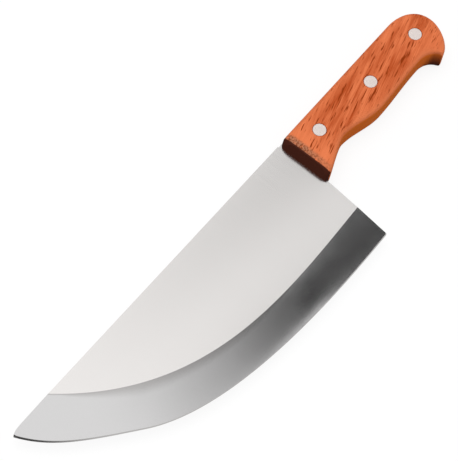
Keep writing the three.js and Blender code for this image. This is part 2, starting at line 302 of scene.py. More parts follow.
def satin_stainless_steel(finishes):
    """Stainless sheet satined on a fine belt: an even pale sheen with faint lines from spine to edge."""
    material, tree = new_material("stainless_steel_belt_satined")
    place = add(tree, "TexCoord").outputs["Object"]
    # Belt lines are about 0.1 mm apart and are drawn 0.7 mm apart, or they wouldn't show
    across = add(tree, "Mapping", {"Vector": place, "Rotation": (0, 0, math.radians(90))})
    lines = add(tree, "VectorMath", {0: across, 1: stretched(45, 0.7)}, operation="MULTIPLY")
    noise = add(tree, "TexNoise", {"Vector": lines, "Scale": 1, "Detail": 3, "Roughness": 0.6})
    rough = add(tree, "MapRange", {"Value": noise, "To Min": 0.13, "To Max": 0.2})
    bump = add(tree, "Bump", {"Strength": 0.04, "Distance": 0.02 * MM, "Height": noise})
    metal = {"Base Color": finishes.satin, "Metallic": 1, "Roughness": rough, "Normal": bump}
    add(tree, "OutputMaterial", {"Surface": add(tree, "BsdfPrincipled", metal)})
    return material


def buffed_stainless_steel(finishes):
    """Stainless steel ground and buffed: nearly a mirror, with a soft haze that blurs what it reflects."""
    material, tree = new_material("stainless_steel_buffed")
    place = add(tree, "TexCoord").outputs["Object"]
    haze = add(tree, "TexNoise", {"Vector": place, "Scale": 1 / (18 * MM), "Detail": 4})
    rough = add(tree, "MapRange", {"Value": haze, "To Min": 0.1, "To Max": 0.15})
    # Painted shade: the steel is tinted darker in a strip below the grind line
    strip = add(tree, "Attribute", attribute_name=SHADE_STRIP).outputs["Fac"]
    painted_shade = add(tree, "MapRange", {"Value": strip}, **EASED)
    tint = add(tree, "Mix", {0: painted_shade, 6: finishes.buffed, 7: finishes.shade_below_grind}, **COLOURS)
    metal = {"Base Color": tint.outputs[2], "Metallic": 1, "Roughness": rough}
    add(tree, "OutputMaterial", {"Surface": add(tree, "BsdfPrincipled", metal)})
    return material


def honed_stainless_steel(finishes):
    """Stainless steel drawn over a fine stone: a narrow clean facet with scratches running across it."""
    material, tree = new_material("stainless_steel_honed")
    place = add(tree, "TexCoord").outputs["Object"]
    # Stone scratches are about 0.02 mm apart and are drawn 0.3 mm apart, or they wouldn't show
    scratches = add(tree, "TexNoise", {"Vector": place, "Scale": 1 / (0.3 * MM), "Detail": 2})
    rough = add(tree, "MapRange", {"Value": scratches, "To Min": 0.1, "To Max": 0.2})
    metal = {"Base Color": finishes.honed, "Metallic": 1, "Roughness": rough}
    add(tree, "OutputMaterial", {"Surface": add(tree, "BsdfPrincipled", metal)})
    return material


def edge_ground_stainless_steel(finishes):
    """Stainless sheet ground square along spine and tang: greyer and duller than the flats, with lines."""
    material, tree = new_material("stainless_steel_edge_ground")
    place = add(tree, "TexCoord").outputs["Object"]
    # Wheel lines are about 0.1 mm apart and are drawn 0.5 mm apart, or they wouldn't show
    lines = add(tree, "VectorMath", {0: place, 1: stretched(30, 0.5)}, operation="MULTIPLY")
    noise = add(tree, "TexNoise", {"Vector": lines, "Scale": 1, "Detail": 2})
    rough = add(tree, "MapRange", {"Value": noise, "To Min": 0.28, "To Max": 0.42})
    metal = {"Base Color": finishes.edge_ground, "Metallic": 1, "Roughness": rough}
    add(tree, "OutputMaterial", {"Surface": add(tree, "BsdfPrincipled", metal)})
    return material


def sanded_aluminium(finishes):
    """Aluminium sanded flush with the wood: bright and matt, with short scratches along the handle."""
    material, tree = new_material("aluminium_sanded_flush")
    place = add(tree, "TexCoord").outputs["Object"]
    lines = add(tree, "VectorMath", {0: place, 1: stretched(4, 0.25)}, operation="MULTIPLY")
    noise = add(tree, "TexNoise", {"Vector": lines, "Scale": 1, "Detail": 2})
    rough = add(tree, "MapRange", {"Value": noise, "To Min": 0.42, "To Max": 0.6})
    bump = add(tree, "Bump", {"Strength": 0.15, "Distance": 0.02 * MM, "Height": noise})
    metal = {"Base Color": finishes.aluminium, "Metallic": 1, "Roughness": rough, "Normal": bump}
    add(tree, "OutputMaterial", {"Surface": add(tree, "BsdfPrincipled", metal)})
    return material


def lacquered_hardwood(finishes, handle):
    """Lacquered red hardwood: orange ground, deep red figure, dark pores and nearly black end grain, with
    painted shade on the front and in the beak's hollow and painted light on the sides and the belly's
    round-over.
    """
    material, tree = new_material("red_hardwood_lacquered")
    texture = add(tree, "TexCoord")
    middle = ORIGIN + Vector((handle.length / 2, -handle.drop - handle.palm / 2, 0))
    centred = add(tree, "VectorMath", {0: texture.outputs["Object"], 1: middle}, operation="SUBTRACT")
    # The grain rises about 15 degrees from the handle's length towards its back
    grain = add(tree, "Mapping", {"Vector": centred, "Rotation": (0, 0, math.radians(-15))})

    # Bands 7 mm wide, broken into streaks 2 mm wide and fibres half a millimetre wide
    wide = add(tree, "VectorMath", {0: grain, 1: stretched(40, 7)}, operation="MULTIPLY")
    bands = add(tree, "TexNoise", {"Vector": wide, "Scale": 1, "Detail": 2, "Distortion": 0.5})
    narrow = add(tree, "VectorMath", {0: grain, 1: stretched(20, 2)}, operation="MULTIPLY")
    streaks = add(tree, "TexNoise", {"Vector": narrow, "Scale": 1, "Detail": 3, "Roughness": 0.6})
    fine = add(tree, "VectorMath", {0: grain, 1: stretched(14, 0.5)}, operation="MULTIPLY")
    fibres = add(tree, "TexNoise", {"Vector": fine, "Scale": 1, "Detail": 2})
    broken = add(tree, "Math", {0: streaks, 1: 0.7, 2: bands}, operation="MULTIPLY_ADD")
    fibrous = add(tree, "Math", {0: fibres, 1: 0.6, 2: broken}, operation="MULTIPLY_ADD")
    figure = add(tree, "MapRange", {"Value": fibrous, "From Min": 0.9, "From Max": 1.4, "To Min": 0.1})

    # The figure is deepest along the middle of the handle and pales towards its front
    axes = add(tree, "SeparateXYZ", {"Vector": centred})
    aside = add(tree, "Math", {0: axes.outputs["Y"]}, operation="ABSOLUTE")
    off_middle = {"Value": aside, "From Min": 5 * MM, "From Max": 14 * MM, "To Min": 1, "To Max": 0.5}
    across = add(tree, "MapRange", off_middle, **EASED)
    off_front = {"Value": axes.outputs["X"], "From Min": -56 * MM, "From Max": -32 * MM, "To Min": 0.3}
    along = add(tree, "MapRange", off_front, **EASED)
    heart = add(tree, "Math", {0: across, 1: along}, operation="MULTIPLY")
    depth = add(tree, "Math", {0: figure, 1: heart}, operation="MULTIPLY")
    ground = add(tree, "Mix", {0: depth, 6: finishes.wood_pale, 7: finishes.wood_deep}, **COLOURS)

    # Pores, closer in the figure. They are about 0.2 mm wide and are drawn 1 mm wide, or they wouldn't show
    dashes = add(tree, "VectorMath", {0: grain, 1: stretched(7, 1)}, operation="MULTIPLY")
    pores = add(tree, "TexNoise", {"Vector": dashes, "Scale": 1, "Detail": 1, "Roughness": 0.4})
    crowd = add(tree, "Math", {0: depth, 1: 0.12, 2: pores}, operation="MULTIPLY_ADD")
    pitted = add(tree, "MapRange", {"Value": crowd, "From Min": 0.63, "From Max": 0.8}, **EASED)
    pored = add(tree, "Mix", {0: pitted, 6: ground.outputs[2], 7: finishes.wood_pore}, **COLOURS)

    # Painted light: the belly's round-over is painted paler where it turns away from the lamp, and the sides
    # a more saturated orange for the light that falls on them
    facing = add(tree, "SeparateXYZ", {"Vector": texture.outputs["Normal"]})
    upright = add(tree, "Math", {0: facing.outputs["Z"]}, operation="ABSOLUTE")
    off_flat = {"Value": upright, "From Min": 0.7, "From Max": 0.98, "To Min": 0.6, "To Max": 0}
    turned_over = add(tree, "MapRange", off_flat, **EASED)
    below = add(tree, "MapRange", {"Value": facing.outputs["Y"], "From Min": 0.1, "From Max": -0.1})
    painted_light = add(tree, "Math", {0: turned_over, 1: below}, operation="MULTIPLY")
    lit_round_over = add(tree, "Mix", {0: painted_light, 6: pored.outputs[2], 7: finishes.wood_lit_round_over}, **COLOURS)
    # Painted light and shade: the sides are tinted a more saturated orange by the way they face
    on_side = {"Value": upright, "From Min": 0.1, "From Max": 0.5, "To Min": 0.85, "To Max": 0}
    sideways = add(tree, "MapRange", on_side, **EASED)
    side_shaded = add(tree, "Mix", {0: sideways, 6: lit_round_over.outputs[2], 7: finishes.wood_side_shading}, **COLOURS)

    # Distance behind the leaning front
    level = add(tree, "Math", {0: axes.outputs["Z"]}, operation="ABSOLUTE")
    rise = add(tree, "Math", {0: level, 1: 2 / handle.thickness}, operation="MULTIPLY")
    bow = add(tree, "Math", {0: rise, 1: FRONT_BOW, 2: 1 - FRONT_BOW}, operation="MULTIPLY_ADD")
    slant = add(tree, "Math", {0: rise, 1: bow}, operation="MULTIPLY")
    leaning = {0: slant, 1: handle.front_lean, 2: -handle.length / 2}
    front = add(tree, "Math", leaning, operation="MULTIPLY_ADD")
    behind = add(tree, "Math", {0: axes.outputs["X"], 1: front}, operation="SUBTRACT")

    # Rubbed and grimy patches on the flats, within 6 mm of the front and mostly towards the back
    near_front = {"Value": behind, "From Min": 3.2 * MM, "From Max": 6 * MM, "To Min": 1, "To Max": 0}
    close = add(tree, "MapRange", near_front, **EASED)
    near_back = {"Value": axes.outputs["Y"], "From Min": -13 * MM, "From Max": MM, "To Min": 0.35}
    upper = add(tree, "MapRange", near_back)
    rub = add(tree, "Math", {0: close, 1: upper}, operation="MULTIPLY")
    blots = {"Vector": texture.outputs["Object"], "Scale": 1 / (2 * MM), "Detail": 3}
    blotches = add(tree, "TexNoise", blots)
    patchy = add(tree, "MapRange", {"Value": blotches, "From Min": 0.3, "From Max": 0.5}, **EASED)
    rubbed = add(tree, "Math", {0: rub, 1: patchy}, operation="MULTIPLY")
    worn = add(tree, "Mix", {0: rubbed, 6: side_shaded.outputs[2], 7: finishes.wood_worn}, **COLOURS)
    specks = add(tree, "TexNoise", {"Vector": centred, "Scale": 1 / (1.2 * MM), "Detail": 2})
    spotty = add(tree, "MapRange", {"Value": specks, "From Min": 0.46, "From Max": 0.6}, **EASED)
    grime = add(tree, "Math", {0: rub, 1: spotty}, operation="MULTIPLY")
    grimy = add(tree, "Mix", {0: grime, 6: worn.outputs[2], 7: finishes.wood_grime}, **COLOURS)

    # End grain with painted shade: the front is painted nearly black up to its rim and a little way round its
    # corners
    reach = add(tree, "MapRange", {"Value": upright, "To Min": 2.6 * MM, "To Max": 0})
    past_rim = add(tree, "Math", {0: behind, 1: reach}, operation="SUBTRACT")
    at_rim = {"Value": past_rim, "From Min": 0.7 * MM, "From Max": 1.3 * MM, "To Min": 1, "To Max": 0}
    end_face = add(tree, "MapRange", at_rim, **EASED)

    # Painted shade: the beak's hollow is painted dark where it faces forwards, the further down the more
    hooked = add(tree, "MapRange", {"Value": facing.outputs["X"], "From Min": -0.05, "From Max": -0.75})
    half = handle.thickness / 2
    sunk = add(tree, "MapRange", {"Value": axes.outputs["Z"], "From Min": half, "From Max": -half})
    cupped = add(tree, "Math", {0: hooked, 1: sunk}, operation="ADD")
    shaded_hollow = add(tree, "MapRange", {"Value": cupped, "From Min": 0.75, "From Max": 1.85}, **EASED)
    beak = add(tree, "MapRange", {"Value": axes.outputs["X"], "From Min": 28 * MM, "From Max": 33 * MM})
    hollow = add(tree, "Math", {0: shaded_hollow, 1: beak}, operation="MULTIPLY")
    stain_and_shade = add(tree, "Math", {0: end_face, 1: hollow}, operation="MAXIMUM")
    stained_and_shaded = add(tree, "Mix", {0: stain_and_shade, 6: grimy.outputs[2], 7: finishes.wood_end_grain_and_shade}, **COLOURS)

    filled = add(tree, "Math", {0: 1.0, 1: pitted}, operation="SUBTRACT")
    bump = add(tree, "Bump", {"Strength": 0.3, "Distance": 0.1 * MM, "Height": filled})
    rough = add(tree, "MapRange", {"Value": pitted, "To Min": 0.42, "To Max": 0.65})
    wood = {"Base Color": stained_and_shaded.outputs[2], "Roughness": rough, "Normal": bump}
    wood |= {"IOR": 1.5, "Specular IOR Level": 0, "Coat Weight": 0.03, "Coat Roughness": 0.25}
    add(tree, "OutputMaterial", {"Surface": add(tree, "BsdfPrincipled", wood)})
    return material


def shade(bm, sharp_angle):
    """Shades a bmesh smooth, with a crease wherever its faces turn by more than an angle."""
    for edge in bm.edges:
        edge.smooth = edge.smooth and edge.calc_face_angle(0) < sharp_angle
    for face in bm.faces:
        face.smooth = True


def new_piece(name, bm, materials, sharp_angle):
    """An object from a finished bmesh."""
    shade(bm, sharp_angle)
    mesh = bpy.data.meshes.new(name)
    bm.to_mesh(mesh)
    bm.free()
    for material in materials:
        mesh.materials.append(material)
    piece = bpy.data.objects.new(name, mesh)
    bpy.context.scene.collection.objects.link(piece)
    return piece


def dress(piece, slot, *nodes):
    """Puts a piece on the fixed frame in place of the solids that it stands for."""
    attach(piece, "root")
    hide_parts(*nodes)


def lerp(start, end, part):
    return start + (end - start) * part


def arc(centre, radius, start, end):
    """Points round a centre from one angle to another, in degrees."""
    x, y = centre
    turns = [math.radians(lerp(start, end, i / ARC_STEPS)) for i in range(ARC_STEPS + 1)]
    return [Vector((x + radius * math.cos(turn), y + radius * math.sin(turn))) for turn in turns]


def curve(start, first, second, end, steps=ARC_STEPS):
    return interpolate_bezier(Vector(start), Vector(first), Vector(second), Vector(end), steps + 1)


def bent(start, end, bend, steps):
    """A curve whose two handles are given as shares of the way from its start to its end."""
    handles = [Vector((lerp(start[0], end[0], bend[i]), lerp(start[1], end[1], bend[i + 1]))) for i in (0, 2)]
    return curve(start, *handles, end, steps)


def spaced(points, steps):
    """The same line as evenly spaced points."""
    line = np.array([point[:2] for point in points])
    reach = np.concatenate([[0], np.cumsum(np.linalg.norm(np.diff(line, axis=0), axis=1))])
    places = np.linspace(0, reach[-1], steps + 1)
    xs, ys = (np.interp(places, reach, line[:, axis]) for axis in (0, 1))
    return [Vector(pair) for pair in zip(xs, ys)]


def on_blade(blade, values):
    """Points on the blade from pairs of shares of its length and depth."""
    numbers = iter(values)
    return [Vector((-blade.length * along, -blade.depth * down)) for along, down in zip(numbers, numbers)]


def cutting_edge(blade):
    """From the rounded heel along the belly to the point."""
    heel = Vector((-blade.heel_setback, -blade.depth))
    belly_end = on_blade(blade, blade.belly_end)[0]
    tip = Vector((-blade.length, -blade.tip_drop))
    belly = curve(heel, *on_blade(blade, blade.belly_bend), belly_end, OUTLINE_STEPS)
    sweep = curve(belly_end, *on_blade(blade, blade.tip_bend), tip, OUTLINE_STEPS)
    corner = heel + Vector((0, blade.heel_radius))
    after = [point for point in belly if point.x < heel.x - blade.heel_radius]
    return curve(corner, heel, heel, after[0]) + after[1:] + sweep[1:]


def shoulder_line(blade, handle):
    """Height at which the back of the blade goes over into the tang's root."""
    return -handle.drop - handle.neck + blade.tang_cover - blade.tang_root


def back_of_blade(blade, handle, y):
    """Where the leaning back of the blade is at a height."""
    corner = blade.heel_radius - blade.depth
    return -blade.heel_setback + blade.heel_lean * (y - corner) / (shoulder_line(blade, handle) - corner)


def grind_line(blade, handle):
    """From the back of the blade to where it runs out on the spine."""
    heel_line = blade.grind_heel - blade.depth
    start = Vector((back_of_blade(blade, handle, heel_line), heel_line))
    end = Vector((blade.grind_run_out - blade.length, 0))
    return curve(start, *on_blade(blade, blade.grind_bend), end, OUTLINE_STEPS)


def tip_spine(blade):
    """The spine from the grind line's end, dropping to the point."""
    start = Vector((blade.tip_run - blade.length, 0))
    bend = Vector((blade.tip_drop - blade.length, 0))
    tip = Vector((-blade.length, -blade.tip_drop))
    drop = curve(start, start.lerp(bend, 2 / 3), tip.lerp(bend, 2 / 3), tip)
    return [Vector((blade.grind_run_out - blade.length, 0))] + drop


def heel_to_tip(along, values):
    """What a value given at even steps from heel to tip is at a share of the way along the edge."""
    return np.interp(along, np.linspace(0, 1, len(values)), values)


def half_thickness(blade, along, from_edge, width):
    """Of the ground blade, a share of the way from heel to tip: honed, rolled over, then crowned."""
    reach = blade.crown_reach
    crown = heel_to_tip(along, blade.crown)
    edge_roll = heel_to_tip(along, blade.edge_roll)

    def climb(place):
        return place - crown * reach * (math.exp((place - width) / reach) - math.exp(-width / reach))

    def roll(place):
        within = min(place, blade.roll_width)
        return edge_roll * (within - within**2 / (2 * blade.roll_width))

    land = blade.edge_land / 2
    slope = (blade.thickness / 2 - land - roll(width)) / climb(width)
    ground = max(from_edge, heel_to_tip(along, blade.hone_width))
    honed = (ground - from_edge) * math.tan(blade.hone_angle)
    return land + slope * climb(ground) + roll(ground) - honed


def grind_patch(bm, blade, handle):
    """One side's bevel as a grid from the cutting edge. Returns its vertices on the grind line."""
    edge = spaced(cutting_edge(blade), EDGE_STEPS)
    line = spaced(grind_line(blade, handle), EDGE_STEPS)
    spine = np.array(sorted(point[:2] for point in tip_spine(blade)))
    rows = 1 + ROLLED_ROWS + GROUND_ROWS
    shade_strip = bm.verts.layers.float.new(SHADE_STRIP)
    grid = bmesh.ops.create_grid(bm, x_segments=EDGE_STEPS, y_segments=rows, size=1)["verts"]
    heel_end = -blade.heel_setback - blade.heel_radius
    for index, vert in enumerate(grid):
        row, station = divmod(index, EDGE_STEPS + 1)
        along = station / EDGE_STEPS
        width = (line[station] - edge[station]).length
        rolled = np.linspace(heel_to_tip(along, blade.hone_width), blade.roll_width, ROLLED_ROWS + 1)
        from_edge = [0, *rolled, *np.linspace(blade.roll_width, width, GROUND_ROWS + 1)[1:]][row]
        place = edge[station].lerp(line[station], from_edge / width)
        if station == EDGE_STEPS:
            place.y = np.interp(place.x, spine[:, 0], spine[:, 1])
        # The heel's corner is rounded off after grinding, so the bevel runs on past it
        cut_off = max(0, edge[station].y + blade.depth) if edge[station].x > heel_end else 0
        vert.co = (*place, half_thickness(blade, along, from_edge + cut_off, width + cut_off))
        # Painted shade: how strongly the strip's darker tint shows here
        vert[shade_strip] = max(0, 1 - (width - from_edge) / heel_to_tip(along, blade.shade_strip_width))
    honed = set(grid[: EDGE_STEPS + 1])
    for face in bm.faces:
        face.material_index = HONE if honed.intersection(face.verts) else BEVEL
    return grid[-EDGE_STEPS - 1 :]


def steel_outline(blade, handle, gap=0):
    """Rest of the blade's outline, along spine and tang to the back of the blade."""
    back = gap - handle.drop
    belly = blade.tang_cover - handle.drop - handle.neck - gap
    shoulder = back_of_blade(blade, handle, shoulder_line(blade, handle)) + gap
    end = handle.length - blade.tang_setback + gap
    corner = blade.tang_corner + gap
    root = (shoulder + blade.tang_root - gap, belly)
    crown = (end, (back + belly) / 2)
    step = handle.drop - blade.spine_fall
    outline = arc((-step, -handle.drop), step, 90, 0)
    outline[-1].y = back
    outline += curve((handle.length - handle.pommel_run + gap, back), crown, crown, (end, belly + corner))
    outline += arc((end - corner, belly + corner), corner, 0, -90)
    outline += curve(root, (shoulder, belly), (shoulder, belly), (shoulder, shoulder_line(blade, handle)))
    return outline


def rivet_places():
    """Where the rivets stand in the handle, from the solids."""
    boxes = [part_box(f"rivet_{name}_pin") for name in RIVETS]
    return [(low + high) / 2 - ORIGIN for low, high in boxes]


def only(kind, geom):
    return [part for part in geom if isinstance(part, kind)]


def ease(bm, chosen, turn, offset, segments):
    """Rounds off the edges that turn by more than an angle and have both ends chosen."""
    sharp = [edge for edge in bm.edges if edge.calc_face_angle(0) > turn]
    bmesh.ops.bevel(
        bm,
        geom=[edge for edge in sharp if all(chosen(vert) for vert in edge.verts)],
        offset=offset,
        affect="EDGES",
        segments=segments,
        profile=0.5,
        material=-1,
        clamp_overlap=True,
    )


def ground_blade(blade, handle, rivets):
    """The upper side's bevel and flat, walled down to their mirror image."""
    bm = bmesh.new()
    half = blade.thickness / 2
    rim = grind_patch(bm, blade, handle)
    rim += [bm.verts.new((*point, half)) for point in steel_outline(blade, handle)]
    edges = [bm.edges.get(pair) or bm.edges.new(pair) for pair in zip(rim, rim[1:] + rim[:1])]
    for place in rivet_places():
        at = Matrix.Translation((place.x, place.y, half))
        bore = rivets.tube / 2 + handle.clearance
        hole = bmesh.ops.create_circle(bm, segments=TURN_STEPS, radius=bore, matrix=at)
        edges += {edge for vert in hole["verts"] for edge in vert.link_edges}
    bmesh.ops.triangle_fill(bm, use_beauty=True, edges=edges)

    upper = bm.verts[:] + bm.edges[:] + bm.faces[:]
    walls = bmesh.ops.extrude_edge_only(bm, edges=[edge for edge in bm.edges if edge.is_boundary])["geom"]
    bmesh.ops.scale(bm, verts=only(BMVert, walls), vec=(1, 1, -1))
    for wall in only(BMFace, walls):
        wall.material_index = SHEET_EDGES
    bmesh.ops.mirror(bm, geom=upper, matrix=Matrix.Identity(4), merge_dist=0, axis="Z")
    bmesh.ops.remove_doubles(bm, verts=bm.verts, dist=MERGE)
    bmesh.ops.recalc_face_normals(bm, faces=bm.faces)

    def on_flat(vert):
        return abs(vert.co.z) > 0.99 * half and vert.co.x < MM

    # The tang's edges, in the handle, stay sharp
    ease(bm, on_flat, STEEL_TURN, blade.eased_edge, segments=1)
    for edge in bm.edges:
        edge.smooth = len({face.material_index for face in edge.link_faces}) == 1
    bmesh.ops.translate(bm, verts=bm.verts, vec=ORIGIN)
    return bm


def handle_sides(handle):
    """Both sides of the handle's outline as points from front to butt, with the way in from each."""
    back_line = -handle.drop
    butt = (handle.length, back_line - handle.butt)
    pommel = (handle.length - handle.pommel_run, back_line)
    radius = handle.front_radius
    back = arc((radius, back_line - radius), radius, 180, 90)
    back += bent(pommel, butt, handle.pommel_bend, OUTLINE_STEPS)

    foot_line = back_line - handle.foot
    radius = handle.foot_radius
    belly = arc((radius, foot_line + radius), radius, 180, 270)
    waist_at = handle.length - handle.waist_setback
    stops = [
        ((handle.neck_at, back_line - handle.neck), handle.flare_ease),
        ((handle.palm_at, back_line - handle.palm), handle.palm_ease),
        ((waist_at, back_line - handle.waist), handle.palm_ease),
    ]
    for stop, ease in stops:
        belly += bent(belly[-1], stop, (ease, 0, 1 - ease, 1), OUTLINE_STEPS)
    beak = (handle.length - handle.beak_setback, back_line - handle.beak)
    belly += bent(belly[-1], beak, handle.hook_bend, OUTLINE_STEPS)
    belly += bent(beak, butt, handle.beak_bend, OUTLINE_STEPS)
    return (np.array(back), -1), (np.array(belly), 1)


def inset_height(side, x, depth):
    """Height at x of one side of the outline after it is set in by a depth all along."""
    points, inward = side
    heights = points[:, 1] * inward
    level = np.interp(x, points[:, 0], heights) + depth
    along = points[:, 0] - x
    near = np.abs(along) < depth
    reached = heights[near] + np.sqrt(depth**2 - along[near] ** 2)
    return max([level, *reached]) * inward


def scale_section(handle, sides, x):
    """Heights of back and belly and the level of each step, from the parting plane round to the flat."""
    half = handle.thickness / 2
    radius = handle.edge_radius
    narrowest = 0.05 * MM
    tolerance = 0.0001 * MM
    low, high = 0, radius
    while high - low > tolerance:
        depth = (low + high) / 2
        if inset_height(sides[0], x, depth) - inset_height(sides[1], x, depth) > narrowest:
            low = depth
        else:
            high = depth
    turn = math.acos(1 - low / radius)
    steps = [(0, 0)]
    for i in range(ROUND_STEPS + 1):
        part = turn * i / ROUND_STEPS
        steps.append((radius * (1 - math.cos(part)), half - radius + radius * math.sin(part)))
    return [([inset_height(side, x, depth) for side in sides], level) for depth, level in steps]


def handle_stations(handle):
    """Places along the handle, closer together at its round ends."""
    ends = handle.length - 0.05 * MM
    beak = handle.length - handle.beak_setback
    hollow = beak - 4 * MM
    turns = [math.radians(90 * i / FRONT_STEPS) for i in range(FRONT_STEPS)]
    front = [handle.front_radius * (1 - math.cos(turn)) for turn in turns]
    shaft = np.linspace(handle.front_radius, hollow, SHAFT_STEPS + 1)[1:]
    hook = np.linspace(hollow, beak, HOOK_STEPS + 1)[1:]
    turns = [math.radians(90 * i / POMMEL_STEPS) for i in range(1, POMMEL_STEPS + 1)]
    pommel = [lerp(beak, ends, math.sin(turn)) for turn in turns]
    return [*front, *shaft, *hook, *pommel]


def contoured_scale(handle):
    """The left scale, drawn out along the handle section by section from its front face."""
    sides = handle_sides(handle)
    bm = bmesh.new()
    level = bm.verts.layers.int.new("level")
    rail = bm.verts.layers.int.new("rail")
    grid = bmesh.ops.create_grid(bm, x_segments=1, y_segments=ROUND_STEPS + 1, size=1)["verts"]
    for index, vert in enumerate(grid):
        vert[level], vert[rail] = divmod(index, 2)
    section_verts = grid
    cap = bm.faces[:]
    for station, x in enumerate(handle_stations(handle)):
        if station:
            drawn = bmesh.ops.extrude_face_region(bm, geom=cap)["geom"]
            if station > 1:
                bmesh.ops.delete(bm, geom=cap, context="FACES")
            cap = only(BMFace, drawn)
            section_verts = only(BMVert, drawn)
        section = scale_section(handle, sides, x)
        for vert in section_verts:
            heights, z = section[vert[level]]
            vert.co = (x, heights[vert[rail]], z)
    bmesh.ops.recalc_face_normals(bm, faces=bm.faces)

    # The front leans back from the blade to the flat
    for vert in bm.verts:
        fade = max(0, 1 - vert.co.x / handle.front_reach) ** 2
        rise = 2 * vert.co.z / handle.thickness
        vert.co.x += handle.front_lean * fade * rise * (1 - FRONT_BOW + FRONT_BOW * rise)

    def on_rim(vert):
        return vert.co.x < handle.front_lean * 1.2 and vert.co.z > 0.1 * MM

    ease(bm, on_rim, FRONT_TURN, handle.front_wear, segments=3)
    return bm


def turned(bm, profile, at=(0, 0, 0)):
    """A solid of revolution about an upright axis, from pairs of radius and height."""
    verts = [bm.verts.new((at[0] + radius, at[1], height)) for radius, height in profile]
    edges = [bm.edges.new(pair) for pair in zip(verts, verts[1:])]
    bmesh.ops.spin(
        bm, geom=verts + edges, cent=at, axis=(0, 0, 1), angle=2 * math.pi, steps=TURN_STEPS, use_merge=True
    )
    bmesh.ops.remove_doubles(bm, verts=bm.verts, dist=MERGE)
    bmesh.ops.recalc_face_normals(bm, faces=bm.faces)


def tang_pocket(blade, handle):
    """The space that the scales leave for the tang."""
    bm = bmesh.new()
    half = blade.thickness / 2
    outline = steel_outline(blade, handle, handle.clearance)
    ahead = -10 * MM
    outline = [Vector((ahead, outline[0].y)), *outline, Vector((ahead, outline[-1].y))]
    face = bm.faces.new([bm.verts.new((*point, -half)) for point in outline])
    drawn = bmesh.ops.extrude_face_region(bm, geom=[face])["geom"]
    bmesh.ops.translate(bm, verts=only(BMVert, drawn), vec=(0, 0, 2 * half))
    bmesh.ops.recalc_face_normals(bm, faces=bm.faces)
    return bm


def rivet_holes(handle, rivets):
    """Stepped holes that the rivets leave in the left scale."""
    bm = bmesh.new()
    half = handle.thickness / 2
    seat = half - rivets.head_depth
    bore = rivets.tube / 2 + handle.clearance
    head = rivets.head / 2 + handle.clearance
    for place in rivet_places():
        profile = [(0, -half), (bore, -half), (bore, seat), (head, seat), (head, 2 * half), (0, 2 * half)]
        turned(bm, profile, (place.x, place.y, 0))
    return bm


def carve(piece, cutters):
    """Cuts the shapes out of a piece and clears them away."""
    tools = [new_piece(f"{piece.name}_cutter_{i}", bm, [], NO_CREASE) for i, bm in enumerate(cutters)]
    for tool in tools:
        cut = piece.modifiers.new("Cut", "BOOLEAN")
        cut.operation = "DIFFERENCE"
        cut.solver = "EXACT"
        cut.object = tool
    bpy.context.view_layer.update()
    graph = bpy.context.evaluated_depsgraph_get()
    carved = bpy.data.meshes.new_from_object(piece.evaluated_get(graph))
    piece.modifiers.clear()
    piece.data = carved
    for tool in tools:
        bpy.data.objects.remove(tool)


class CLEAVER_OT_blade(bpy.types.Operator):
    """Make the ground blade with its tang"""

    bl_idname = "cleaver.blade"
    bl_label = "Ground blade"

    def execute(self, context):
        cleaver = context.scene.cleaver
        bm = ground_blade(cleaver.blade, cleaver.handle, cleaver.rivets)
        finishes = cleaver.finishes
        steels = {
            FLATS: satin_stainless_steel(finishes),
            BEVEL: buffed_stainless_steel(finishes),
            HONE: honed_stainless_steel(finishes),
            SHEET_EDGES: edge_ground_stainless_steel(finishes),
        }
        piece = new_piece("ground_blade", bm, steels.values(), BLADE_CREASE)
        dress(piece, "satin_steel", "blade")
        return {"FINISHED"}


class CLEAVER_OT_scales(bpy.types.Operator):
    """Make the two contoured handle scales"""

    bl_idname = "cleaver.scales"
    bl_label = "Handle scales"

    def execute(self, context):
        cleaver = context.scene.cleaver
        handle = cleaver.handle
        wood = lacquered_hardwood(cleaver.finishes, handle)
        for side, mirror in (("left", 1), ("right", -1)):
            piece = new_piece(f"contoured_scale_{side}", contoured_scale(handle), [wood], NO_CREASE)
            carve(piece, [tang_pocket(cleaver.blade, handle), rivet_holes(handle, cleaver.rivets)])
            bm = bmesh.new()
            bm.from_mesh(piece.data)
            bmesh.ops.scale(bm, verts=bm.verts, vec=(1, 1, mirror))
            bmesh.ops.translate(bm, verts=bm.verts, vec=ORIGIN)
            bmesh.ops.recalc_face_normals(bm, faces=bm.faces)
            shade(bm, SCALE_CREASE)
            bm.to_mesh(piece.data)
            bm.free()
            weighted = piece.modifiers.new("Flat faces stay flat", "WEIGHTED_NORMAL")
            weighted.keep_sharp = True
            dress(piece, "red_hardwood", f"scale_{side}")
        return {"FINISHED"}


class CLEAVER_OT_rivets(bpy.types.Operator):
    """Make the pin and the socket of each rivet"""

    bl_idname = "cleaver.rivets"
    bl_label = "Flush rivets"

    def execute(self, context):
        cleaver = context.scene.cleaver
        rivets = cleaver.rivets
        metal = sanded_aluminium(cleaver.finishes)
        half = cleaver.handle.thickness / 2
        seat = half - rivets.head_depth
        end = rivets.end_gap - seat
        rim = rivets.head / 2
        crown = rivets.crown
        head = [(rim, seat), (rim, half - 2 * crown), (rim - crown, half - crown)]
        head += [(rim / 2, half - crown / 4), (0, half)]
        pin = [(0, end), (rivets.pin / 2, end), (rivets.pin / 2, seat), *head]
        bore = rivets.pin / 2 + cleaver.handle.clearance
        tube = rivets.tube / 2
        socket = [(0, seat), (bore, seat), (bore, end), (tube, end), (tube, seat), *head]
        for name, place in zip(RIVETS, rivet_places()):
            for part, profile, mirror in (("pin", pin, 1), ("socket", socket, -1)):
                bm = bmesh.new()
                turned(bm, [(radius, height * mirror) for radius, height in profile], (place.x, place.y, 0))
                bmesh.ops.translate(bm, verts=bm.verts, vec=ORIGIN)
                piece = new_piece(f"flush_rivet_{name}_{part}", bm, [metal], RIVET_CREASE)
                dress(piece, "rivet_aluminium", f"rivet_{name}_{part}")
        return {"FINISHED"}


